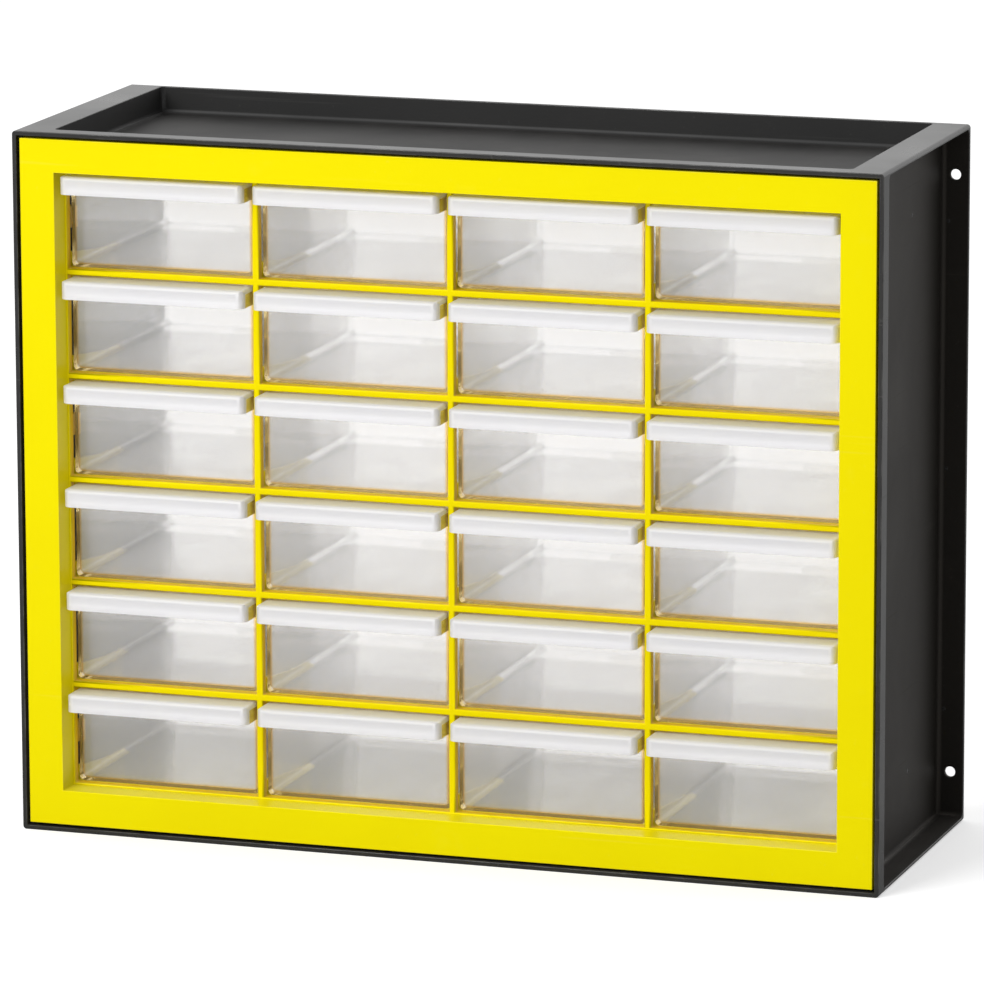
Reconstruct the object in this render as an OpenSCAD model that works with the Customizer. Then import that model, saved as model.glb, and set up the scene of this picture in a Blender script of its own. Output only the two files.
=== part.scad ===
// Parts cabinet: a moulded case with an open back, a snap-in drawer frame,
// runner racks and a grid of clear drawers. Millimetres, +Z up, the drawers
// face -Y. The origin is at the middle of the base. Row 1 is the top row and
// column 1 is at the left, seen from the front.

/* [Case] */
// Overall width of the case
case_w = 495; // [440:5:560]
// Overall depth of the case
case_d = 178; // [170:1:220]
// Overall height of the case
case_h = 394; // [350:2:450]
// Wall thickness of the case moulding
case_wall = 2.5; // [2:0.1:3]
// Depth of the tray on top, and of the recesses below and at the sides
recess = 15.5; // [12:0.5:18]
// Wall beside the tray that thickens the web of the side recess
tray_wall = 2.5; // [2:0.1:3.5]
// Depth of the front rim, from its edge to the back of its floor
rim_d = 11; // [9:0.5:14]
// Thickness of the front rim, seen from the front
rim_wall = 2.5; // [2:0.1:3.5]
// Radius of the case's long outer edges
case_r = 2; // [0.5:0.5:2.4]
// Radius in the corners and round the floor of the tray and the recesses
recess_r = 3; // [1:0.5:5]

/* [Wall holes] */
// Diameter of the holes in the back flanges
wall_hole_d = 6; // [4:0.5:8]
// Distance of the holes from the top and the bottom of the case
wall_hole_inset = 28; // [20:1:60]

/* [Drawer frame] */
// Shadow gap between the rim and the frame
frame_gap = 1.5; // [0.5:0.1:2]
// How far the face of the frame sits behind the edge of the rim
frame_setback = 1; // [0:0.25:2]
// Wall thickness of the frame
frame_wall = 2.5; // [2:0.1:3]
// Thickness of the ribs behind the border, in line with the bars
rib_t = 1.6; // [1.2:0.1:2]
// How far the ribs end in front of the floor of the rim
rib_gap = 1; // [0.5:0.25:3]
// Width of the border at the sides
border_side = 20; // [20:0.5:28]
// Height of the border above the drawers
border_top = 18.5; // [18:0.5:26]
// Height of the border below the drawers
border_bottom = 19.5; // [19.5:0.5:28]
// How far the lip round all the cells shows inside the border
lip = 1; // [0.5:0.1:2]
// Thickness of the bars between the drawers, seen from the front
bar_t = 3.6; // [3:0.1:5]
// How far the bars and the lip sit behind the edge of the rim
bar_setback = 16.4; // [14:0.2:18]
// Depth of the bars and the lip, front to back
bar_d = 5.8; // [5:0.2:8]
// Radius of the front edges of the bars
bar_r = 1; // [0.5:0.1:1.4]

/* [Snap hooks] */
// Length of the hooks behind the frame
hook_l = 9; // [8:0.5:11]
// Height of each hook
hook_h = 12; // [8:1:16]
// How far the head of a hook stands out
hook_reach = 2.8; // [2:0.1:3]
// Length of the catch lugs in the case, front to back
lug_l = 3.5; // [2.5:0.1:4]

/* [Grid] */
// Number of columns of drawers
cols = 4; // [3:1:5]
// Number of rows of drawers
rows = 6; // [4:1:8]

/* [Runner racks] */
// Depth of the strip that lies behind each bar
strip_d = 4; // [3:0.5:5]
// Length of the runners behind the strip
runner_l = 64; // [50:1:132]
// How far a runner reaches under the drawer, from the edge of the cell
runner_reach = 4.6; // [3:0.1:6]
// Thickness of the runner's flange
flange_t = 1.6; // [1.2:0.1:2]
// Thickness of the upright blade of a runner
blade_t = 2.4; // [1.6:0.1:3]
// Height of the blade above the flange, at the strip
guide_h = 8; // [5:0.5:12]
// Height of the blade above the flange, at the free end
guide_tip_h = 1; // [0.5:0.5:5]
// Depth of the blade below the flange, at the strip
web_h = 12; // [6:0.5:15]
// Depth of the blade below the flange, at the free end
web_tip_h = 4; // [2:0.5:5]
// Lead-in chamfer on the free end of each flange
lead_in = 2; // [1:0.5:3]
// Width of the ledges in the case that carry the ends of the racks
ledge_w = 3.5; // [2.5:0.1:4]
// Thickness of the ledges
ledge_t = 2; // [1.5:0.1:3]

/* [Drawers] */
// Length of a drawer, from the face of its panel to its back
drawer_l = 147; // [120:1:150]
// Wall thickness of a drawer
drawer_wall = 1.6; // [1.2:0.1:2]
// Thickness of the front panel
panel_t = 1.8; // [1.5:0.1:2.5]
// Gap at each side of a drawer in its cell
side_gap = 0.75; // [0.5:0.05:1]
// Gap above a drawer in its cell
top_gap = 1; // [0.6:0.1:2]
// Running gap between a drawer and what carries it
floor_gap = 0.3; // [0.2:0.05:0.4]
// Radius of the outer edges of a drawer, below and at the back
drawer_r = 3; // [2.2:0.2:5]
// Radius of the inner edges of a drawer, except along its panel
inner_r = 3; // [1:0.5:5]
// Diameter of the dimple under the floor that holds the gate mark
gate_d = 6; // [4:0.5:10]
// Depth of the dimple
gate_h = 0.5; // [0.2:0.1:0.8]
// Diameter of the pip that the gate leaves in the dimple
gate_pip_d = 1.6; // [1:0.1:2.5]
// Drop from the top of the panel to the rim at the sides
side_drop = 3.4; // [2:0.2:8]
// Drop from the top of the panel to the rim at the back
back_drop = 8; // [6:0.5:14]

/* [Handle] */
// How far the handle stands out from the panel
handle_d = 19.5; // [16:0.5:20.5]
// Height of the handle's front lip
handle_h = 10.2; // [9:0.2:14]
// Wall thickness of the handle
handle_t = 2; // [1.5:0.1:2.5]
// Radius of the handle's corners, seen from above
handle_r = 4.5; // [3:0.5:6]
// Radius along the handle's upper edges, and of the panel's upper corners
handle_edge_r = 2.5; // [1:0.1:3]

/* [Stop tab] */
// Width of the stop tab on the back of a drawer
tab_w = 26; // [14:1:40]
// How far the tab rises above the top of the cell
tab_rise = 2.4; // [1.5:0.1:2.8]
// Radius of the tab's upper corners
tab_r = 3; // [1:0.5:4]
// Width of the slits that let the tab bend
slit_w = 1.5; // [1:0.1:2]
// Depth of the slits
slit_h = 9; // [5:0.5:14]
// Gap left between the tab and the strip with the drawer fully out
stop_gap = 0.4; // [0.3:0.05:1]

/* [Hidden] */
$fn = 48;
// Overshoot of a cut past a face
over = 1;
// Clearance between two pieces that lie side by side
play = 0.3;

// Places along Y
front_y = -case_d / 2;
back_y = case_d / 2;
rim_floor_y = front_y + rim_d - case_wall;
recess_front_y = front_y + rim_d;
recess_back_y = back_y - case_wall;
frame_face_y = front_y + frame_setback;
bar_front_y = front_y + bar_setback;
bar_back_y = bar_front_y + bar_d;
strip_back_y = bar_back_y + strip_d;
runner_end_y = strip_back_y + runner_l;
panel_y = bar_back_y;
drawer_back_y = panel_y + drawer_l;

// The cavity of the case
web_x = case_w / 2 - recess;
cavity_x = web_x - case_wall;
tray_x = cavity_x - tray_wall;
tray_floor_z = case_h - recess;
cavity_top = tray_floor_z - case_wall;
cavity_bottom = recess + case_wall;

// The frame and its cells
frame_edge = rim_wall + frame_gap;
open_x = case_w / 2 - frame_edge - border_side;
open_bottom = frame_edge + border_bottom;
open_top = case_h - frame_edge - border_top;
grid_x = open_x - lip;
grid_bottom = open_bottom + lip;
grid_top = open_top - lip;
cell_w = (2 * grid_x - (cols - 1) * bar_t) / cols;
cell_h = (grid_top - grid_bottom - (rows - 1) * bar_t) / rows;
pitch_x = cell_w + bar_t;

// The runners
ledge_end_y = runner_end_y + play + case_wall;
blade_gap = bar_t / 2 + side_gap - blade_t / 2;
side_blade_x = grid_x - side_gap + blade_gap;
hook_rows = [1, ceil(rows / 2), rows];

// A drawer, from its own floor up
drawer_w = cell_w - 2 * side_gap;
drawer_h = cell_h - floor_gap - top_gap;
tab_top = cell_h - floor_gap + tab_rise;

// How far a drawer slides out before its tab meets the strip
drawer_travel = drawer_back_y - drawer_wall - strip_back_y - stop_gap;
echo(drawer_travel = drawer_travel);

// Middle of column c
function column_x(c) = -grid_x + cell_w / 2 + (c - 1) * pitch_x;
// Middle of the upright bar between columns i and i + 1
function bar_x(i) = -grid_x + i * pitch_x - bar_t / 2;
// Top of the bar, or of the lip, below row r
function row_z(r) = grid_top - r * cell_h - (r - 1) * bar_t;

// A box from one corner to the other
module block(low, high) {
  translate(low) cube(high - low);
}

// Both sides of the case at once
module both_sides() {
  children();
  mirror([1, 0, 0]) children();
}

// A rectangle about the origin with round corners
module round_rect(w, h, r) {
  square([w - 2 * r, h], center = true);
  square([w, h - 2 * r], center = true);
  for (x = [-1, 1], y = [-1, 1]) translate([x * (w / 2 - r), y * (h / 2 - r)]) circle(r);
}

// A rectangle standing on the X axis with round lower corners
module round_bottom(w, h, r) {
  translate([-w / 2, r]) square([w, h - r]);
  translate([r - w / 2, 0]) square([w - 2 * r, h]);
  for (x = [-1, 1]) translate([x * (w / 2 - r), r]) circle(r);
}

// A plan with round front corners, w wide, from y0 back to y1
module round_front(w, y0, y1, r) {
  translate([-w / 2, y0 + r]) square([w, y1 - y0 - r]);
  translate([r - w / 2, y0]) square([w - 2 * r, y1 - y0]);
  for (x = [-1, 1]) translate([x * (w / 2 - r), y0 + r]) circle(r);
}

// A 2D outline in XZ, drawn out along Y from y0 to y1
module along_y(y0, y1) {
  translate([0, y1, 0]) rotate([90, 0, 0]) linear_extrude(y1 - y0) children();
}

// A 2D outline in YZ, drawn out along X from x0 to x1
module along_x(x0, x1) {
  translate([x0, 0, 0]) rotate([90, 0, 90]) linear_extrude(x1 - x0) children();
}

// A well, open above, with round corners and a round edge along its floor
module well(w, d, h, r) {
  intersection() {
    linear_extrude(h) round_rect(w, d, r);
    along_y(-d / 2, d / 2) round_bottom(w, h, r);
    along_x(-w / 2, w / 2) round_bottom(d, h, r);
  }
}

// ---------------------------------------------------------------- case

// One of the four shallow recesses round the case, w long, open upwards
module recess_cut(w) {
  well(w, recess_back_y - recess_front_y, recess + over, recess_r);
}

// The tray on top and the recesses below and at the sides
module recesses() {
  translate([0, (recess_front_y + recess_back_y) / 2, 0]) {
    translate([0, 0, tray_floor_z]) recess_cut(2 * tray_x);
    translate([0, 0, recess]) mirror([0, 0, 1]) recess_cut(2 * tray_x);
    both_sides() translate([web_x, 0, case_h / 2]) rotate([0, 90, 0]) recess_cut(case_h - 2 * case_wall);
  }
}

// Holes through the back flange, in its middle
module wall_holes() {
  x = case_w / 2 - recess / 2;
  for (z = [wall_hole_inset, case_h - wall_hole_inset])
    translate([x, back_y + over, z]) rotate([90, 0, 0])
      cylinder(h = case_wall + 2 * over, d = wall_hole_d);
}

// A ledge on the web for the end of one rack, with a stop at its back
module ledge(r) {
  z = row_z(r) - flange_t;
  x = cavity_x - ledge_w;
  block([x, strip_back_y, z - ledge_t], [web_x, ledge_end_y, z]);
  block([x, runner_end_y + play, z - ledge_t], [web_x, ledge_end_y, z + flange_t]);
}

// A lug on the web that one snap hook catches behind
module lug(r) {
  z = row_z(r) + cell_h / 2;
  y = bar_back_y + hook_l - 2 * hook_reach + play;
  block([open_x + frame_wall + play, y - play - lug_l, z - hook_h / 2],
        [web_x, y - play, z + hook_h / 2]);
}

module case_shell() {
  color("#26262a") {
    difference() {
      along_y(front_y, back_y) translate([0, case_h / 2]) round_rect(case_w, case_h, case_r);
      block([rim_wall - case_w / 2, front_y - over, rim_wall],
            [case_w / 2 - rim_wall, rim_floor_y, case_h - rim_wall]);
      block([-cavity_x, front_y, cavity_bottom], [cavity_x, back_y + over, cavity_top]);
      recesses();
      both_sides() wall_holes();
    }
    both_sides() for (r = [1:rows]) ledge(r);
    both_sides() for (r = hook_rows) lug(r);
  }
}

// ---------------------------------------------------------------- frame

// The border: a flat face with a wall round its outer edge and one round the cells
module border() {
  outer_x = case_w / 2 - frame_edge;
  difference() {
    block([-outer_x, frame_face_y, frame_edge], [outer_x, rim_floor_y, case_h - frame_edge]);
    difference() {
      block([frame_wall - outer_x, frame_face_y + frame_wall, frame_edge + frame_wall],
            [outer_x - frame_wall, rim_floor_y + over, case_h - frame_edge - frame_wall]);
      block([-open_x - frame_wall, frame_face_y, open_bottom - frame_wall],
            [open_x + frame_wall, rim_floor_y + 2 * over, open_top + frame_wall]);
    }
    block([-open_x, frame_face_y - over, open_bottom], [open_x, rim_floor_y + over, open_top]);
  }
}

// The wall round the cells with the lip inside it, both deeper above so that
// the top row's tabs meet them too
module cell_wall() {
  difference() {
    block([-open_x - frame_wall, rim_floor_y - over, open_bottom - frame_wall],
          [open_x + frame_wall, bar_back_y, open_top + frame_wall]);
    block([-open_x, rim_floor_y - 2 * over, open_bottom], [open_x, bar_front_y, open_top]);
    block([-grid_x, bar_front_y - over, grid_bottom], [grid_x, bar_back_y + over, grid_top]);
  }
  block([-open_x, bar_back_y - over, grid_top], [open_x, strip_back_y, open_top + frame_wall]);
}

// Section of a bar: front edges rounded, back flat; t across, along the Y axis of the sketch
module bar_section() {
  translate([bar_r, 0]) square([bar_d - bar_r, bar_t]);
  translate([0, bar_r]) square([bar_d, bar_t - 2 * bar_r]);
  for (z = [bar_r, bar_t - bar_r]) translate([bar_r, z]) circle(bar_r);
}

// Ribs across the channel behind the border, one at each end of each bar
module border_ribs() {
  y0 = frame_face_y + over;
  y1 = rim_floor_y - rib_gap;
  outer_x = case_w / 2 - frame_edge - over;
  both_sides() for (r = [1:rows - 1])
    translate([0, 0, row_z(r) - bar_t / 2])
      block([open_x + over, y0, -rib_t / 2], [outer_x, y1, rib_t / 2]);
  for (i = [1:cols - 1]) translate([bar_x(i), 0, 0]) {
    block([-rib_t / 2, y0, frame_edge + over], [rib_t / 2, y1, open_bottom - over]);
    block([-rib_t / 2, y0, open_top + over], [rib_t / 2, y1, case_h - frame_edge - over]);
  }
}

module bars() {
  for (r = [1:rows - 1])
    along_x(-open_x - over, open_x + over) translate([bar_front_y, row_z(r) - bar_t]) bar_section();
  for (i = [1:cols - 1])
    translate([bar_x(i) + bar_t / 2, bar_front_y, open_bottom - over]) rotate([0, 0, 90])
      linear_extrude(open_top - open_bottom + 2 * over) bar_section();
}

// A snap hook on the back of the cell wall, beside row r
module hook(r) {
  x = open_x + frame_wall;
  tip_y = bar_back_y + hook_l;
  catch_y = tip_y - 2 * hook_reach + play;
  z = row_z(r) + (cell_h - hook_h) / 2;
  block([open_x, bar_back_y - over, z], [x, tip_y, z + hook_h]);
  translate([0, 0, z]) linear_extrude(hook_h)
    polygon([[x - over, catch_y], [x + hook_reach, catch_y], [x + hook_reach, catch_y + 1], [x, tip_y],
             [x - over, tip_y]]);
}

module drawer_frame() {
  color("#ffef00") {
    border();
    cell_wall();
    border_ribs();
    bars();
    both_sides() for (r = hook_rows) hook(r);
  }
}

// ---------------------------------------------------------------- runner racks

// The upright blade of a runner, high at the strip and low at its free end
module blade(x, web) {
  tip_web = min(web, web_tip_h);
  along_x(x - blade_t / 2, x + blade_t / 2) polygon([
    [strip_back_y - over, -flange_t - web], [strip_back_y, -flange_t - web],
    [runner_end_y, -flange_t - tip_web], [runner_end_y, guide_tip_h],
    [strip_back_y, guide_h], [strip_back_y - over, guide_h]]);
}

// The flange of a runner from x0 to x1, with a lead-in at its free end
module flange(x0, x1) {
  translate([0, 0, -flange_t]) linear_extrude(flange_t)
    polygon([[x0, strip_back_y - over], [x0, runner_end_y - lead_in], [x0 + lead_in, runner_end_y],
             [x1 - lead_in, runner_end_y], [x1, runner_end_y - lead_in], [x1, strip_back_y - over]]);
}

module runner_rack(r) {
  z = row_z(r);
  web = min(web_h, z - flange_t - cavity_bottom);
  half_flange = bar_t / 2 + runner_reach;
  color("#f2dc00") translate([0, 0, z]) {
    block([play - cavity_x, bar_back_y, -bar_t], [cavity_x - play, strip_back_y, 0]);
    for (i = [1:cols - 1]) {
      flange(bar_x(i) - half_flange, bar_x(i) + half_flange);
      blade(bar_x(i), web);
    }
    both_sides() {
      flange(grid_x - runner_reach, cavity_x - play);
      blade(side_blade_x + blade_t / 2, web);
    }
  }
}

// ---------------------------------------------------------------- drawers

// The drawer's outline from the side: full height at the panel, lower behind
module side_outline() {
  slope_y = panel_y + panel_t;
  side_h = drawer_h - side_drop;
  back_h = drawer_h - back_drop;
  polygon([[panel_y, 0], [panel_y, drawer_h], [slope_y, drawer_h], [slope_y + 2 * side_drop, side_h],
           [drawer_back_y - 2 * back_drop, side_h], [drawer_back_y - drawer_wall, back_h],
           [drawer_back_y, back_h], [drawer_back_y, drawer_r], [drawer_back_y - drawer_r, 0]]);
  translate([drawer_back_y - drawer_r, drawer_r]) circle(drawer_r);
}

// The space in a drawer, square where it meets the panel and round elsewhere
module inside() {
  w = drawer_w - 2 * drawer_wall;
  y0 = panel_y + panel_t;
  y1 = drawer_back_y - drawer_wall;
  intersection() {
    mirror([0, 1, 0]) linear_extrude(drawer_h) round_front(w, -y1, -y0, inner_r);
    along_y(y0, y1) round_bottom(w, drawer_h, inner_r);
    along_x(-w / 2, w / 2) {
      translate([y0, 0]) square([y1 - y0 - inner_r, drawer_h]);
      translate([y0, inner_r]) square([y1 - y0, drawer_h - inner_r]);
      translate([y1 - inner_r, inner_r]) circle(inner_r);
    }
  }
}

// The open box behind the panel
module tray() {
  difference() {
    intersection() {
      along_y(panel_y, drawer_back_y) {
        round_bottom(drawer_w, drawer_h - handle_edge_r, drawer_r);
        translate([0, drawer_h]) mirror([0, 1]) round_bottom(drawer_w, drawer_h - drawer_r, handle_edge_r);
      }
      along_x(-drawer_w / 2, drawer_w / 2) side_outline();
      mirror([0, 1, 0]) linear_extrude(drawer_h) round_front(drawer_w, -drawer_back_y, -panel_y, drawer_r);
    }
    translate([0, 0, drawer_wall]) inside();
    gate_dimple();
  }
}

// The dimple in the middle of the floor's underside, round the pip left by the gate
module gate_dimple() {
  translate([0, panel_y + drawer_l / 2, 0]) difference() {
    translate([0, 0, -over]) cylinder(h = gate_h + over, d = gate_d);
    translate([0, 0, gate_h / 2]) cylinder(h = gate_h, d = gate_pip_d);
  }
}

// The hooded handle, open below for the fingers
module handle() {
  y0 = panel_y - handle_d;
  y1 = panel_y + panel_t;
  z0 = drawer_h - handle_h;
  r = handle_edge_r;
  difference() {
    intersection() {
      translate([0, 0, z0]) linear_extrude(handle_h) round_front(drawer_w, y0, y1, handle_r);
      along_x(-drawer_w / 2, drawer_w / 2) {
        translate([y0, z0]) square([y1 - y0, handle_h - r]);
        translate([y0 + r, z0]) square([y1 - y0 - r, handle_h]);
        translate([y0 + r, drawer_h - r]) circle(r);
      }
      along_y(y0, y1) translate([0, drawer_h]) mirror([0, 1]) round_bottom(drawer_w, handle_h, r);
    }
    translate([0, 0, z0 - over]) linear_extrude(handle_h + over - handle_t)
      round_front(drawer_w - 2 * handle_t, y0 + handle_t, panel_y, handle_r - handle_t);
  }
}

// The stop tab in the middle of the back
module tab() {
  y0 = drawer_back_y - drawer_wall;
  z0 = drawer_h - back_drop - slit_h;
  along_y(y0, drawer_back_y) {
    translate([-tab_w / 2, z0]) square([tab_w, tab_top - tab_r - z0]);
    translate([tab_r - tab_w / 2, z0]) square([tab_w - 2 * tab_r, tab_top - z0]);
    for (x = [-1, 1]) translate([x * (tab_w / 2 - tab_r), tab_top - tab_r]) circle(tab_r);
  }
}

// Slits beside the tab, from the rim of the back wall down
module slits() {
  z0 = drawer_h - back_drop - slit_h;
  for (x = [-tab_w / 2 - slit_w, tab_w / 2])
    block([x, drawer_back_y - drawer_wall - over, z0], [x + slit_w, drawer_back_y + over, drawer_h]);
}

module drawer(r, c) {
  color([0.9, 0.92, 0.93, 0.6]) translate([column_x(c), 0, row_z(r) + floor_gap]) {
    difference() {
      tray();
      slits();
    }
    handle();
    tab();
  }
}

case_shell();
drawer_frame();
for (r = [1:rows]) runner_rack(r);
for (r = [1:rows]) for (c = [1:cols])
  drawer(r, c);
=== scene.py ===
"""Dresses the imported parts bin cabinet: softened mouldings, their plastics, light and camera."""

import math

import bmesh
import bpy
from mathutils import Matrix, Vector


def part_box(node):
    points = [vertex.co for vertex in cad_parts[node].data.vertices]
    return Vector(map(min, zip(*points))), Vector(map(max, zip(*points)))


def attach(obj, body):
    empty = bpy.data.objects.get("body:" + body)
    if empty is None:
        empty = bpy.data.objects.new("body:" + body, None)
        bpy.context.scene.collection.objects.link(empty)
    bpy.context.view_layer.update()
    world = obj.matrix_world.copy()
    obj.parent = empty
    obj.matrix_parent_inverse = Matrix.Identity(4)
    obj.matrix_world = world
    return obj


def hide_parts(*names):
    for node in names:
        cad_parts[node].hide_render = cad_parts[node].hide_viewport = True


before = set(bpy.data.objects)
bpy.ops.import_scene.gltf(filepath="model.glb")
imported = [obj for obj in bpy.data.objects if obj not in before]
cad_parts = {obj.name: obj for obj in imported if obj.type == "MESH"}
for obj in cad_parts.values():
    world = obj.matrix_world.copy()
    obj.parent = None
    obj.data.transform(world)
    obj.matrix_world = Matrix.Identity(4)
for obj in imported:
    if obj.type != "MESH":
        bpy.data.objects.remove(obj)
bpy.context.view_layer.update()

MM = 0.001
ROWS, COLUMNS = range(1, 7), range(1, 5)
FIRST_DRAWER = "drawer_r1_c1"
CASE_LOW, CASE_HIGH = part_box("case_shell")
DRAWER_LOW, DRAWER_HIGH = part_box(FIRST_DRAWER)

# The part's own sizes that the boxes of its nodes don't give
WALL = 2.5 * MM
SIDE_RECESS = 15.5 * MM
BAR_SETBACK = 16.4 * MM
PANEL_SETBACK = 22.2 * MM
PANEL_THICKNESS = 1.8 * MM

# How the copied mouldings are cleaned, and which of their edges are arrises
WELD = 0.002 * MM
SHORT_EDGE = 0.15 * MM
FLAT = math.radians(0.5)
ARRIS = math.radians(40)

# A face is a panel's edge if its normal has less depth than this
SIDEWAYS = 0.8

# How round each moulding's arrises are
CASE_ROUND = 0.45 * MM
FRONT_ROUND = 0.4 * MM
COMB_ROUND = 0.25 * MM
DRAWER_ROUND = 0.15 * MM

# Where one finish of the case gives way to the next, just past the rounded arrises
FINISH_DEPTH = 0.6 * MM
RIM_HALF_WIDTH = CASE_HIGH.x - FINISH_DEPTH
RIM_FRONT = CASE_LOW.y + FINISH_DEPTH
RIM_TOP = CASE_HIGH.z - FINISH_DEPTH
RIM_BOTTOM = CASE_LOW.z + FINISH_DEPTH
SIDE_WEB = CASE_HIGH.x - SIDE_RECESS - FINISH_DEPTH
SIDE_TOP = CASE_HIGH.z - WALL - 0.3 * MM

# The panel's faces lie just inside these two depths, and handles lie in front of the first
PANEL_FRONT = CASE_LOW.y + PANEL_SETBACK - 0.1 * MM
PANEL_BACK = CASE_LOW.y + PANEL_SETBACK + PANEL_THICKNESS + 0.2 * MM

# Painted shade: where the sides of the front frame's bars begin to turn amber, and where they have
# turned, in place of their shadow and the yellow light bounced between the bars
BAR_FRONT = CASE_LOW.y + BAR_SETBACK
PAINTED_SHADE_FROM = BAR_FRONT - FINISH_DEPTH
PAINTED_SHADE_TO = BAR_FRONT + 3.6 * MM

# How far a panel's amber edge band, a painted reflection of the yellow frame's light, reaches in
# full, and where it has faded away
PAINTED_REFLECTION_WIDTH = (1.8 * MM, 3.2 * MM)
PAINTED_REFLECTION_DEPTH = (2.0 * MM, 6.0 * MM)


# ---------------------------------------------------------------- meshes


def link(name, mesh):
    """A new object for a mesh, at the origin."""
    piece = bpy.data.objects.new(name, mesh)
    bpy.context.scene.collection.objects.link(piece)
    return piece


def applied(piece):
    """Turns what a piece's modifiers make into its plain mesh, and removes them."""
    bpy.context.view_layer.update()
    mesh = bpy.data.meshes.new_from_object(
        piece.evaluated_get(bpy.context.evaluated_depsgraph_get())
    )
    piece.modifiers.clear()
    piece.data = mesh
    mesh.name = piece.name
    return piece


def part_faces(shape, cuts):
    """Cuts a shape's faces along planes, each an axis and its place on it, and seams the cuts."""
    for axis, place in cuts:
        way = Vector([float(axis == other) for other in "xyz"])
        parted = bmesh.ops.bisect_plane(
            shape,
            geom=shape.verts[:] + shape.edges[:] + shape.faces[:],
            dist=WELD,
            plane_co=way * place,
            plane_no=way,
        )
        for part in parted["geom_cut"]:
            if isinstance(part, bmesh.types.BMEdge):
                part.seam = True


def round_arrises(shape, radius):
    """Rounds a shape's sharp convex edges, and marks the new faces for their wear."""
    on_arris = shape.faces.layers.float.new("arris")
    arrises = [
        edge
        for edge in shape.edges
        if edge.is_convex and edge.calc_face_angle(0) > ARRIS
    ]
    rounded = bmesh.ops.bevel(
        shape,
        geom=arrises,
        offset=radius,
        offset_type="OFFSET",
        segments=2,
        profile=0.5,
        affect="EDGES",
        clamp_overlap=False,
    )
    for face in rounded["faces"]:
        face[on_arris] = 1.0


def softened(node, name, radius, finish, cuts=()):
    """A copy of a packed moulding with its arrises rounded. finish gives a face's material slot.

    cuts are planes that part a lattice into faces with no holes in them.
    """
    shape = bmesh.new()
    shape.from_mesh(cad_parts[node].data)
    bmesh.ops.remove_doubles(shape, verts=shape.verts, dist=WELD)
    part_faces(shape, cuts)
    bmesh.ops.dissolve_limit(
        shape,
        angle_limit=FLAT,
        verts=shape.verts,
        edges=shape.edges,
        delimit={"SEAM"},
    )
    bmesh.ops.remove_doubles(shape, verts=shape.verts, dist=SHORT_EDGE)
    round_arrises(shape, radius)
    for face in shape.faces:
        face.smooth = True
        face.material_index = finish(face)
    mesh = bpy.data.meshes.new(name)
    shape.to_mesh(mesh)
    shape.free()
    piece = link(name, mesh)
    even = piece.modifiers.new("even_normals", "WEIGHTED_NORMAL")
    even.mode = "FACE_AREA_WITH_ANGLE"
    even.weight = 100
    return applied(piece)


def moved_copy(piece, name, step):
    """The same moulding again, step away, with its place in its mesh."""
    mesh = piece.data.copy()
    mesh.transform(Matrix.Translation(step))
    mesh.name = name
    return link(name, mesh)


def place_on(piece, body, nodes, materials):
    """Gives a piece its body, the nodes it stands for and any missing finishes."""
    if not piece.data.materials:
        for material in materials:
            piece.data.materials.append(material)
    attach(piece, body)
    if nodes:
        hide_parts(*nodes)


# ---------------------------------------------------------------- node helpers


def wire(tree, kind, inputs=None, **settings):
    """Adds a node, makes its settings, and links or fills its inputs."""
    node = tree.nodes.new(kind)
    for setting, value in settings.items():
        setattr(node, setting, value)
    for label, value in (inputs or {}).items():
        if isinstance(value, bpy.types.NodeSocket):
            tree.links.new(value, node.inputs[label])
        else:
            node.inputs[label].default_value = value
    return node


def maths(tree, operation, first, second):
    """One Math node's output."""
    return wire(
        tree, "ShaderNodeMath", {0: first, 1: second}, operation=operation
    ).outputs[0]


def spread(tree, value, low, high, to_low=0.0, to_high=1.0):
    """Stretches the part of value between low and high over to_low to to_high, clamped."""
    return wire(
        tree,
        "ShaderNodeMapRange",
        {"Value": value, 1: low, 2: high, 3: to_low, 4: to_high},
    ).outputs[0]


def noise(tree, place, scale, detail=2.0, roughness=0.5, distortion=0.0):
    """A noise texture's value, scale in waves a metre."""
    return wire(
        tree,
        "ShaderNodeTexNoise",
        {
            "Vector": place,
            "Scale": scale,
            "Detail": detail,
            "Roughness": roughness,
            "Distortion": distortion,
        },
    ).outputs["Fac"]


def blend(tree, share, first, second):
    """A colour between two, by share."""
    return wire(
        tree,
        "ShaderNodeMix",
        {0: share, 6: first, 7: second},
        data_type="RGBA",
    ).outputs[2]


def stretched(tree, place, stretch, turn=(0.0, 0.0, 0.0)):
    """Coordinates turned and stretched by a Mapping node."""
    return wire(
        tree,
        "ShaderNodeMapping",
        {"Vector": place, "Rotation": turn, "Scale": stretch},
    ).outputs[0]


def parts_of(tree, vector):
    """A vector's X, Y and Z."""
    return wire(tree, "ShaderNodeSeparateXYZ", {0: vector}).outputs


def attribute(tree, name):
    """The outputs of a mesh attribute's node."""
    return wire(
        tree, "ShaderNodeAttribute", attribute_name=name, attribute_type="GEOMETRY"
    ).outputs


def seen_rays(tree):
    """1 for rays from the camera or through clear walls, and 0 for the rest."""
    rays = tree.nodes.new("ShaderNodeLightPath").outputs
    return maths(tree, "MAXIMUM", rays["Is Camera Ray"], rays["Is Transmission Ray"])


def mixed(tree, share, first, second):
    """A shader between two, by share."""
    return wire(
        tree, "ShaderNodeMixShader", {0: share, 1: first, 2: second}
    ).outputs[0]


def new_group(name, inputs, outputs):
    """An empty shader group with named sockets: its tree, what comes in and what goes out."""
    tree = bpy.data.node_groups.new(name, "ShaderNodeTree")
    for label, kind, value in inputs:
        socket = tree.interface.new_socket(
            name=label, in_out="INPUT", socket_type="NodeSocket" + kind
        )
        if value is not None:
            socket.default_value = value
    for label in outputs:
        tree.interface.new_socket(
            name=label, in_out="OUTPUT", socket_type="NodeSocketFloat"
        )
    coming = tree.nodes.new("NodeGroupInput").outputs
    going = tree.nodes.new("NodeGroupOutput").inputs
    return tree, coming, going


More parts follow.
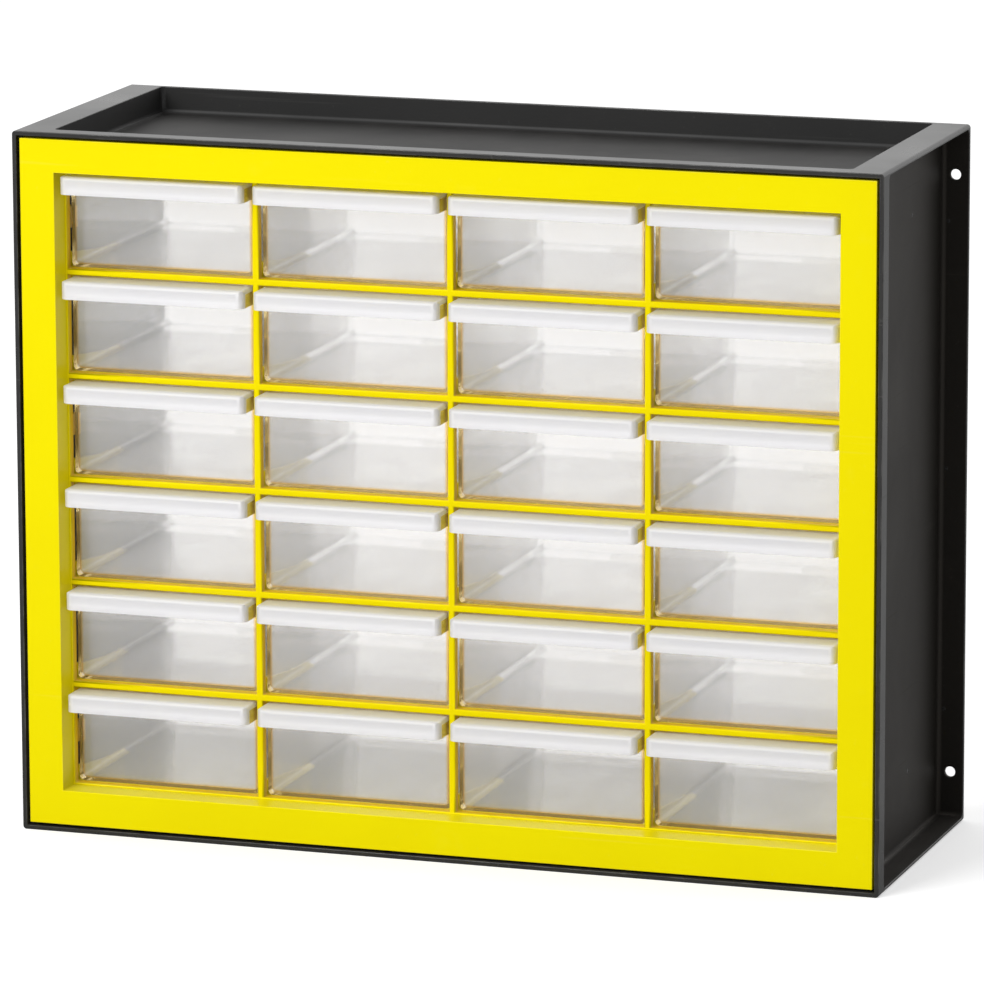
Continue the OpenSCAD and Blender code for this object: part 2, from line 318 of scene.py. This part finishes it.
def effect(tree, group, inputs):
    """Places a shader group in a material and returns its outputs."""
    return wire(tree, "ShaderNodeGroup", inputs, node_tree=group).outputs


# ---------------------------------------------------------------- shared effects


def make_moulded_skin():
    """The spark-eroded skin of a mould: a fine height and a slow change of tone."""
    tree, coming, going = new_group(
        "moulded_skin",
        [("Place", "Vector", None), ("Grains a metre", "Float", 900.0)],
        ["Height", "Tone"],
    )
    fine = noise(tree, coming["Place"], coming["Grains a metre"], 3.0, 0.6)
    tree.links.new(spread(tree, fine, 0.3, 0.7), going["Height"])
    slow = noise(tree, coming["Place"], 11.0, 3.0, 0.55, 0.4)
    tree.links.new(spread(tree, slow, 0.3, 0.7), going["Tone"])
    return tree


def make_arris_wear():
    """Rubbed patches along the rounded arrises."""
    tree, coming, going = new_group(
        "arris_wear",
        [("Place", "Vector", None), ("Arris", "Float", 0.0), ("Amount", "Float", 0.5)],
        ["Mask"],
    )
    patches = spread(tree, noise(tree, coming["Place"], 55.0, 4.0, 0.65), 0.42, 0.66)
    rubbed = maths(tree, "MULTIPLY", patches, coming["Arris"])
    tree.links.new(maths(tree, "MULTIPLY", rubbed, coming["Amount"]), going["Mask"])
    return tree


def make_handling_marks():
    """Sparse hairline scratches in two directions, with small dull scuffs between them."""
    tree, coming, going = new_group(
        "handling_marks",
        [("Place", "Vector", None), ("Amount", "Float", 0.5)],
        ["Mask"],
    )
    strokes = []
    for turn, stretch in (
        ((0.0, 0.35, 0.2), (9.0, 420.0, 420.0)),
        ((0.25, -0.5, 1.1), (420.0, 14.0, 380.0)),
    ):
        along = stretched(tree, coming["Place"], stretch, turn)
        strokes.append(spread(tree, noise(tree, along, 1.0, 1.0, 0.4), 0.73, 0.79))
    scuffs = spread(tree, noise(tree, coming["Place"], 38.0, 5.0, 0.7), 0.62, 0.74)
    lines = maths(tree, "MAXIMUM", strokes[0], strokes[1])
    marks = maths(tree, "MAXIMUM", lines, maths(tree, "MULTIPLY", scuffs, 0.45))
    tree.links.new(maths(tree, "MULTIPLY", marks, coming["Amount"]), going["Mask"])
    return tree


def make_settled_dust():
    """A thin film on what faces up, patchy."""
    tree, coming, going = new_group(
        "settled_dust",
        [("Place", "Vector", None), ("Amount", "Float", 0.2)],
        ["Mask"],
    )
    geometry = tree.nodes.new("ShaderNodeNewGeometry").outputs
    up = spread(tree, parts_of(tree, geometry["Normal"])["Z"], 0.7, 1.0)
    cloudy = noise(tree, coming["Place"], 24.0, 5.0, 0.65)
    patchy = spread(tree, cloudy, 0.35, 0.75, 0.3, 1.0)
    film = maths(tree, "MULTIPLY", up, patchy)
    tree.links.new(maths(tree, "MULTIPLY", film, coming["Amount"]), going["Mask"])
    return tree


def make_flow_haze():
    """The cloudy streaks that a clear moulding keeps from its flow, between 0 and 1."""
    tree, coming, going = new_group(
        "flow_haze", [("Place", "Vector", None)], ["Haze"]
    )
    flow = stretched(tree, coming["Place"], (26.0, 12.0, 42.0))
    streaks = spread(tree, noise(tree, flow, 1.0, 3.0, 0.5, 1.2), 0.3, 0.72)
    tree.links.new(streaks, going["Haze"])
    return tree


def make_painted_reflection_band():
    """The painted reflection band beside a panel's side and lower edges, where the yellow frame's
    light is painted in, from a spot's place on the panel.
    """
    tree, coming, going = new_group(
        "painted_reflection_band", [("Inset", "Vector", None), ("Half width", "Float", 0.0)], ["Mask"]
    )
    parts = parts_of(tree, coming["Inset"])
    across = maths(tree, "ABSOLUTE", parts["X"], 0.0)
    from_side = maths(tree, "SUBTRACT", coming["Half width"], across)
    nearest = maths(tree, "MINIMUM", from_side, parts["Z"])
    beside = spread(tree, nearest, *PAINTED_REFLECTION_WIDTH, 1.0, 0.0)
    near_front = spread(tree, parts["Y"], *PAINTED_REFLECTION_DEPTH, 1.0, 0.0)
    tree.links.new(maths(tree, "MULTIPLY", beside, near_front), going["Mask"])
    return tree


moulded_skin = make_moulded_skin()
arris_wear = make_arris_wear()
handling_marks = make_handling_marks()
settled_dust = make_settled_dust()
flow_haze = make_flow_haze()
painted_reflection_band = make_painted_reflection_band()


# ---------------------------------------------------------------- materials

DUST = (0.42, 0.40, 0.37, 1.0)
# Painted shade: the amber that the bars' sides take on in place of their shadow and the yellow
# light bounced onto them
PAINTED_SHADE_COLOUR = (1.0, 0.60, 0.0, 1.0)
THROUGH_WALL = (0.95, 0.95, 0.95, 1.0)
CLEAR_IOR = 1.49


def new_material(name):
    """An empty node material: its tree, its coordinates on the piece and its output's surface."""
    material = bpy.data.materials.new(name)
    material.use_nodes = True
    tree = material.node_tree
    tree.nodes.clear()
    place = tree.nodes.new("ShaderNodeTexCoord").outputs["Object"]
    surface = tree.nodes.new("ShaderNodeOutputMaterial").inputs["Surface"]
    return material, tree, place, surface


def skin_normal(tree, height, scratched, scratch_depth, strength, relief):
    """The normals of a moulded skin with its scratches cut into it."""
    cut = maths(tree, "MULTIPLY", scratched, scratch_depth)
    return wire(
        tree,
        "ShaderNodeBump",
        {
            "Height": maths(tree, "SUBTRACT", height, cut),
            "Strength": strength,
            "Distance": relief,
        },
    ).outputs[0]


def moulded_plastic(
    name, colour, deep, worn, roughness, grain, bump, wear, marks, dust=0.0,
    recessed=None, **constants,
):
    """A solid-coloured moulding: toned skin, rubbed arrises, handling marks and a little dust.

    recessed is a painted shade: a colour, and the two depths between which the moulding takes it
    on in place of the shadow in its recesses.
    """
    material, tree, place, surface = new_material(name)
    skin = effect(tree, moulded_skin, {"Place": place, "Grains a metre": grain})
    arris = attribute(tree, "arris")["Fac"]
    rubbed = effect(
        tree, arris_wear, {"Place": place, "Arris": arris, "Amount": wear}
    )["Mask"]
    scratched = effect(tree, handling_marks, {"Place": place, "Amount": marks})["Mask"]
    film = effect(tree, settled_dust, {"Place": place, "Amount": dust})["Mask"]
    toned = blend(tree, skin["Tone"], deep, colour)
    # Painted shade: the deeper parts blend to the given colour, as the shadow between the bars
    # would tint them
    if recessed:
        depth = parts_of(tree, place)["Y"]
        toned = blend(tree, spread(tree, depth, *recessed[1:]), toned, recessed[0])
    toned = blend(tree, rubbed, toned, worn)
    toned = blend(tree, maths(tree, "MULTIPLY", scratched, 0.3), toned, worn)
    toned = blend(tree, film, toned, DUST)
    rough = spread(tree, skin["Tone"], 0.0, 1.0, roughness + 0.04, roughness - 0.04)
    rough = maths(tree, "ADD", rough, maths(tree, "MULTIPLY", scratched, 0.16))
    rough = maths(tree, "ADD", rough, maths(tree, "MULTIPLY", film, 0.5))
    rough = maths(tree, "SUBTRACT", rough, maths(tree, "MULTIPLY", rubbed, 0.12))
    normal = skin_normal(tree, skin["Height"], scratched, 0.6, bump, 0.02 * MM)
    shader = wire(
        tree,
        "ShaderNodeBsdfPrincipled",
        {"Base Color": toned, "Roughness": rough, "Normal": normal, **constants},
    )
    tree.links.new(shader.outputs[0], surface)
    return material


def clear_plastic(
    name, colour, cloud, clearness, roughness, grain, bump, marks, edge=None
):
    """A milky clear moulding. Shadow rays and scattered light go straight through it.

    edge is the colour of a painted reflection that the panel's edge band takes on, in place of the
    yellow frame's light in the clear wall.
    """
    material, tree, place, surface = new_material(name)
    haze = effect(tree, flow_haze, {"Place": place})["Haze"]
    skin = effect(tree, moulded_skin, {"Place": place, "Grains a metre": grain})
    scratched = effect(tree, handling_marks, {"Place": place, "Amount": marks})["Mask"]
    toned = blend(tree, haze, colour, cloud)
    # Painted reflection: the band along the panel's edges is tinted as if lit by the yellow frame
    # beside it
    if edge:
        band = effect(
            tree,
            painted_reflection_band,
            {
                "Inset": attribute(tree, "inset")["Vector"],
                "Half width": (DRAWER_HIGH.x - DRAWER_LOW.x) / 2,
            },
        )["Mask"]
        toned = blend(tree, band, toned, edge)
    rough = spread(tree, haze, 0.0, 1.0, roughness - 0.02, roughness + 0.03)
    rough = maths(tree, "ADD", rough, maths(tree, "MULTIPLY", scratched, 0.2))
    normal = skin_normal(tree, skin["Height"], scratched, 0.4, bump, 0.01 * MM)
    wall = wire(
        tree,
        "ShaderNodeBsdfPrincipled",
        {
            "Base Color": toned,
            "Roughness": rough,
            "Normal": normal,
            "IOR": CLEAR_IOR,
            "Transmission Weight": clearness,
        },
    ).outputs[0]
    rays = tree.nodes.new("ShaderNodeLightPath").outputs
    open_way = wire(
        tree, "ShaderNodeBsdfTransparent", {"Color": THROUGH_WALL}
    ).outputs[0]
    scattered = mixed(tree, rays["Is Diffuse Ray"], wall, open_way)
    lit = mixed(tree, rays["Is Shadow Ray"], scattered, open_way)
    tree.links.new(lit, surface)
    return material


rim_black = moulded_plastic(
    "case_rim_black",
    colour=(0.022, 0.0215, 0.0205, 1.0),
    deep=(0.016, 0.0155, 0.015, 1.0),
    worn=(0.12, 0.118, 0.11, 1.0),
    roughness=0.27,
    grain=700.0,
    bump=0.35,
    wear=0.6,
    marks=0.45,
    dust=0.05,
)
grained_black = moulded_plastic(
    "case_grained_black",
    colour=(0.011, 0.0105, 0.010, 1.0),
    deep=(0.007, 0.007, 0.0068, 1.0),
    worn=(0.09, 0.09, 0.085, 1.0),
    roughness=0.56,
    grain=850.0,
    bump=0.8,
    wear=0.5,
    marks=0.5,
    dust=0.06,
)
side_black = moulded_plastic(
    "case_side_black",
    colour=(0.010, 0.0088, 0.0075, 1.0),
    deep=(0.006, 0.0054, 0.0048, 1.0),
    worn=(0.085, 0.08, 0.07, 1.0),
    roughness=0.52,
    grain=850.0,
    bump=0.6,
    wear=0.5,
    marks=0.5,
    dust=0.05,
    **{"Specular IOR Level": 0.36, "Specular Tint": (1.0, 0.91, 0.80, 1.0)},
)
bright_yellow = moulded_plastic(
    "frame_bright_yellow",
    colour=(0.985, 0.86, 0.0, 1.0),
    deep=(0.96, 0.82, 0.0, 1.0),
    worn=(1.0, 0.90, 0.12, 1.0),
    roughness=0.36,
    grain=650.0,
    bump=0.3,
    wear=0.4,
    marks=0.3,
    # Painted shade: amber on the bars' sides, which lie in shadow
    recessed=(PAINTED_SHADE_COLOUR, PAINTED_SHADE_FROM, PAINTED_SHADE_TO),
    **{"Specular Tint": (1.0, 0.86, 0.08, 1.0)},
)
rack_yellow = moulded_plastic(
    "rack_satin_yellow",
    colour=(0.95, 0.77, 0.01, 1.0),
    deep=(0.90, 0.70, 0.01, 1.0),
    worn=(0.98, 0.86, 0.12, 1.0),
    roughness=0.42,
    grain=750.0,
    bump=0.35,
    wear=0.5,
    marks=0.5,
    **{"Specular Tint": (1.0, 0.86, 0.12, 1.0)},
)
milky_clear = clear_plastic(
    "drawer_milky_clear",
    colour=(0.99, 0.985, 0.985, 1.0),
    cloud=(1.0, 0.99, 0.985, 1.0),
    clearness=0.87,
    roughness=0.08,
    grain=600.0,
    bump=0.08,
    marks=0.3,
    # Painted reflection: the yellow frame's light, painted along the panel's edges
    edge=(1.0, 0.68, 0.18, 1.0),
)
# Painted reflection: the panel's edge faces are tinted amber as if lit through by the yellow frame
painted_reflection_edge = clear_plastic(
    "drawer_amber_edge",
    colour=(1.0, 0.84, 0.50, 1.0),
    cloud=(1.0, 0.89, 0.60, 1.0),
    clearness=0.45,
    roughness=0.16,
    grain=700.0,
    bump=0.1,
    marks=0.35,
)
frosted_clear = clear_plastic(
    "drawer_frosted_handle",
    colour=(0.93, 0.925, 0.95, 1.0),
    cloud=(0.95, 0.945, 0.955, 1.0),
    clearness=0.4,
    roughness=0.36,
    grain=1100.0,
    bump=0.5,
    marks=0.3,
)


# ---------------------------------------------------------------- the mouldings


def case_finish(face):
    """Slot 0 is the smooth outer rim, slot 1 the grained inside and slot 2 the recessed sides."""
    spot = face.calc_center_median()
    on_rim = (
        abs(spot.x) > RIM_HALF_WIDTH
        or spot.y < RIM_FRONT
        or spot.z > RIM_TOP
        or spot.z < RIM_BOTTOM
    )
    if on_rim:
        return 0
    return 2 if abs(spot.x) > SIDE_WEB and spot.z < SIDE_TOP else 1


def drawer_finish(face):
    """Slot 0 is the clear tray, slot 1 the frosted handle, slot 2 the edges of the panel, which
    carry a painted amber reflection of the yellow frame.
    """
    depth = face.calc_center_median().y
    if depth < PANEL_FRONT:
        return 1
    return 2 if depth < PANEL_BACK and abs(face.normal.y) < SIDEWAYS else 0


def one_finish(face):
    """The only slot."""
    return 0


def cell_middles():
    """The planes through the middles of the columns and rows of cells."""
    across, upward = [], []
    for column in COLUMNS:
        low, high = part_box(f"drawer_r1_c{column}")
        across.append(("x", (low.x + high.x) / 2))
    for row in ROWS:
        low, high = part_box(f"drawer_r{row}_c1")
        upward.append(("z", (low.z + high.z) / 2))
    return across + upward


def make_case():
    """The black housing in its three finishes."""
    case = softened("case_shell", "case_housing", CASE_ROUND, case_finish)
    finishes = [rim_black, grained_black, side_black]
    place_on(case, "cabinet", ["case_shell"], finishes)


def make_front_frame():
    """The yellow front with its grid of bars."""
    front = softened(
        "drawer_frame", "front_frame", FRONT_ROUND, one_finish, cell_middles()
    )
    place_on(front, "cabinet", ["drawer_frame"], [bright_yellow])


def make_runner_combs():
    """The comb of runners behind each row."""
    for row in ROWS:
        node = f"runner_rack_{row}"
        comb = softened(node, f"runner_comb_{row}", COMB_ROUND, one_finish)
        place_on(comb, "cabinet", [node], [rack_yellow])


def mark_insets(drawer):
    """Keeps each point's place on the panel, from the middle of its lower front edge."""
    middle = (DRAWER_LOW.x + DRAWER_HIGH.x) / 2
    start = Vector((middle, PANEL_FRONT, DRAWER_LOW.z))
    insets = drawer.data.attributes.new("inset", "FLOAT_VECTOR", "POINT")
    for vertex, inset in zip(drawer.data.vertices, insets.data):
        inset.vector = vertex.co - start


def make_drawers():
    """One clear drawer, and a copy of it in each of the other cells."""
    finishes = [milky_clear, frosted_clear, painted_reflection_edge]
    first = softened(FIRST_DRAWER, f"clear_{FIRST_DRAWER}", DRAWER_ROUND, drawer_finish)
    mark_insets(first)
    for row in ROWS:
        for column in COLUMNS:
            node = f"drawer_r{row}_c{column}"
            drawer = first
            if node != FIRST_DRAWER:
                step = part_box(node)[0] - DRAWER_LOW
                drawer = moved_copy(first, f"clear_{node}", step)
            place_on(drawer, node, [node], finishes)


# ---------------------------------------------------------------- ejector marks

# Where the ejector pins pressed on each side: depth and height on the web, height on the flange
WEB_PINS = (
    (25.0 * MM, 42.5 * MM),
    (25.0 * MM, 353.0 * MM),
    (-40.0 * MM, 120.0 * MM),
    (-40.0 * MM, 275.0 * MM),
)
FLANGE_PINS = (64.0 * MM, 201.0 * MM, 340.0 * MM)
FLANGE_PIN_INSET = 11.7 * MM

MARK_RADIUS = 1.2 * MM
MARK_PROUD = 0.05 * MM
MARK_ROOTED = 0.6 * MM
MARK_CROWN = 0.82
MARK_CORNERS = 20
MARK_WELD = 0.001 * MM


def make_mark_tree():
    """A Geometry Nodes tree that sets a low, chamfered, closed disc on every point it is given."""
    tree = bpy.data.node_groups.new("ejector_marks", "GeometryNodeTree")
    for label, kind in (
        ("Points", "Geometry"),
        ("Radius", "Float"),
        ("Proud", "Float"),
        ("Rooted", "Float"),
        ("Material", "Material"),
    ):
        tree.interface.new_socket(
            name=label, in_out="INPUT", socket_type="NodeSocket" + kind
        )
    tree.interface.new_socket(
        name="Marks", in_out="OUTPUT", socket_type="NodeSocketGeometry"
    )
    coming = tree.nodes.new("NodeGroupInput").outputs
    face = wire(
        tree,
        "GeometryNodeMeshCircle",
        {"Vertices": MARK_CORNERS, "Radius": coming["Radius"]},
        fill_type="NGON",
    ).outputs[0]
    sunk = maths(tree, "MULTIPLY", coming["Rooted"], -1.0)
    drop = wire(tree, "ShaderNodeCombineXYZ", {"Z": sunk}).outputs[0]
    foot = wire(
        tree, "GeometryNodeTransform", {"Geometry": face, "Translation": drop}
    ).outputs[0]
    wall = wire(
        tree,
        "GeometryNodeExtrudeMesh",
        {"Mesh": foot, "Offset Scale": coming["Rooted"], "Individual": False},
        mode="FACES",
    ).outputs
    crown = wire(
        tree,
        "GeometryNodeExtrudeMesh",
        {
            "Mesh": wall["Mesh"],
            "Selection": wall["Top"],
            "Offset Scale": coming["Proud"],
            "Individual": False,
        },
        mode="FACES",
    ).outputs
    chamfered = wire(
        tree,
        "GeometryNodeScaleElements",
        {"Geometry": crown["Mesh"], "Selection": crown["Top"], "Scale": MARK_CROWN},
        domain="FACE",
    ).outputs[0]
    under = wire(tree, "GeometryNodeFlipFaces", {"Mesh": foot}).outputs[0]
    joined = tree.nodes.new("GeometryNodeJoinGeometry")
    tree.links.new(chamfered, joined.inputs[0])
    tree.links.new(under, joined.inputs[0])
    disc = wire(
        tree,
        "GeometryNodeMergeByDistance",
        {"Geometry": joined.outputs[0], "Distance": MARK_WELD},
    ).outputs[0]
    outward = wire(
        tree,
        "GeometryNodeInputNamedAttribute",
        {"Name": "outward"},
        data_type="FLOAT_VECTOR",
    ).outputs[0]
    turned = wire(
        tree, "FunctionNodeAlignRotationToVector", {"Vector": outward}, axis="Z"
    ).outputs[0]
    placed = wire(
        tree,
        "GeometryNodeInstanceOnPoints",
        {"Points": coming["Points"], "Instance": disc, "Rotation": turned},
    ).outputs[0]
    real = wire(tree, "GeometryNodeRealizeInstances", {"Geometry": placed}).outputs[0]
    finished = wire(
        tree,
        "GeometryNodeSetMaterial",
        {"Geometry": real, "Material": coming["Material"]},
    ).outputs[0]
    tree.links.new(finished, tree.nodes.new("NodeGroupOutput").inputs[0])
    return tree


def pin_places():
    """Each ejector pin's spot on the case, with the way that its face looks."""
    back = CASE_HIGH.y - WALL
    for side in (-1, 1):
        web = side * (CASE_HIGH.x - SIDE_RECESS)
        flange = side * (CASE_HIGH.x - FLANGE_PIN_INSET)
        for depth, height in WEB_PINS:
            yield (web, depth, height), (side, 0.0, 0.0)
        for height in FLANGE_PINS:
            yield (flange, back, height), (0.0, -1.0, 0.0)


def make_ejector_marks():
    """The marks that the mould's ejector pins leave in the recessed sides of the case."""
    spots, ways = zip(*pin_places())
    mesh = bpy.data.meshes.new("ejector_marks")
    mesh.from_pydata(spots, [], [])
    outward = mesh.attributes.new("outward", "FLOAT_VECTOR", "POINT")
    outward.data.foreach_set("vector", [part for way in ways for part in way])
    marks = link("ejector_marks", mesh)
    settings = {
        "Radius": MARK_RADIUS,
        "Proud": MARK_PROUD,
        "Rooted": MARK_ROOTED,
        "Material": rim_black,
    }
    modifier = marks.modifiers.new("ejector_marks", "NODES")
    modifier.node_group = make_mark_tree()
    for socket in modifier.node_group.interface.items_tree:
        if socket.in_out == "INPUT" and socket.name in settings:
            modifier[socket.identifier] = settings[socket.name]
    applied(marks)
    place_on(marks, "cabinet", [], [rim_black])


# ---------------------------------------------------------------- floor, light and camera

FLOOR_HALF_WIDTH = 6.0
LIT_PAPER = (0.54, 0.56)
SEEN_PAPER = (0.84, 0.86)
FLOOR_LIFT = 0.4

# How strongly the surround lights from the front and from the back, and the span between
FRONT_LEVEL, BACK_LEVEL = 0.6, 0.95
LEVEL_SPAN = 0.6

# The photograph's view, fitted to the corners of the case
LENS, SENSOR = 269.97, 36.0
CAMERA_PLACE = (1.2700, -3.7937, 1.0228)
CAMERA_TURN = math.radians(18.517)
CAMERA_DROP = math.radians(11.761)
CAMERA_ROLL = math.radians(-0.187)


def paper(tree, fibre, greys):
    """A matt sheet that varies between two greys with its fibre."""
    dark, pale = ((grey, grey, grey, 1.0) for grey in greys)
    colour = blend(tree, fibre, dark, pale)
    return wire(tree, "ShaderNodeBsdfDiffuse", {"Color": colour}).outputs[0]


def make_floor():
    """A pale sheet under the cabinet that keeps its shadow, lifted to white where it is seen."""
    shape = bmesh.new()
    bmesh.ops.create_grid(shape, x_segments=1, y_segments=1, size=FLOOR_HALF_WIDTH)
    mesh = bpy.data.meshes.new("white_floor")
    shape.to_mesh(mesh)
    shape.free()
    floor = link("white_floor", mesh)
    material, tree, place, surface = new_material("white_sheet")
    fibre = noise(tree, place, 6.0)
    lit_paper = paper(tree, fibre, LIT_PAPER)
    seen_paper = paper(tree, fibre, SEEN_PAPER)
    lift = wire(tree, "ShaderNodeEmission", {"Strength": FLOOR_LIFT}).outputs[0]
    lifted = wire(tree, "ShaderNodeAddShader", {0: seen_paper, 1: lift}).outputs[0]
    tree.links.new(mixed(tree, seen_rays(tree), lit_paper, lifted), surface)
    mesh.materials.append(material)


def make_world():
    """A white surround, seen at full strength, that lights the front less than the back."""
    world = bpy.data.worlds.new("white_surround")
    world.use_nodes = True
    tree = world.node_tree
    tree.nodes.clear()
    way = tree.nodes.new("ShaderNodeTexCoord").outputs["Generated"]
    back = parts_of(tree, way)["Y"]
    lighting = spread(tree, back, -LEVEL_SPAN, LEVEL_SPAN, FRONT_LEVEL, BACK_LEVEL)
    level = maths(tree, "MAXIMUM", lighting, seen_rays(tree))
    shown = wire(
        tree, "ShaderNodeBackground", {"Color": (1.0, 1.0, 1.0, 1.0), "Strength": level}
    )
    ending = tree.nodes.new("ShaderNodeOutputWorld")
    tree.links.new(shown.outputs[0], ending.inputs["Surface"])
    bpy.context.scene.world = world


def make_lamp(name, spot, aim, size, power):
    """A square soft lamp at spot, turned to aim."""
    lamp = bpy.data.lights.new(name, "AREA")
    lamp.shape = "SQUARE"
    lamp.size = size
    lamp.energy = power
    stand = bpy.data.objects.new(name, lamp)
    stand.location = spot
    way = Vector(aim) - Vector(spot)
    stand.rotation_euler = way.to_track_quat("-Z", "Y").to_euler()
    bpy.context.scene.collection.objects.link(stand)


def make_camera():
    """The photograph's view: its place, its turn and its long lens."""
    data = bpy.data.cameras.new("photo_camera")
    data.lens = LENS
    data.sensor_width = SENSOR
    data.clip_start, data.clip_end = 0.1, 40.0
    camera = bpy.data.objects.new("photo_camera", data)
    ahead = Vector(
        (
            -math.sin(CAMERA_TURN) * math.cos(CAMERA_DROP),
            math.cos(CAMERA_TURN) * math.cos(CAMERA_DROP),
            -math.sin(CAMERA_DROP),
        )
    )
    level = Vector((math.cos(CAMERA_TURN), math.sin(CAMERA_TURN), 0.0))
    upright = level.cross(ahead)
    right = level * math.cos(CAMERA_ROLL) + upright * math.sin(CAMERA_ROLL)
    up = upright * math.cos(CAMERA_ROLL) - level * math.sin(CAMERA_ROLL)
    turned = Matrix((right, up, -ahead)).transposed().to_4x4()
    camera.matrix_world = Matrix.Translation(CAMERA_PLACE) @ turned
    bpy.context.scene.collection.objects.link(camera)
    bpy.context.scene.camera = camera


def set_view():
    """Plain tones, and enough bounces for light in clear walls to keep their edges bright."""
    scene = bpy.context.scene
    scene.view_settings.view_transform = "Standard"
    scene.cycles.max_bounces = 32
    scene.cycles.transmission_bounces = 28
    scene.cycles.glossy_bounces = 24
    scene.cycles.transparent_max_bounces = 32


# ---------------------------------------------------------------- the scene

make_case()
make_front_frame()
make_runner_combs()
make_drawers()
make_ejector_marks()
make_floor()
make_world()
make_lamp("key_lamp", spot=(-0.9, -2.0, 1.7), aim=(0.0, 0.0, 0.2), size=1.3, power=36.0)
make_camera()
set_view()
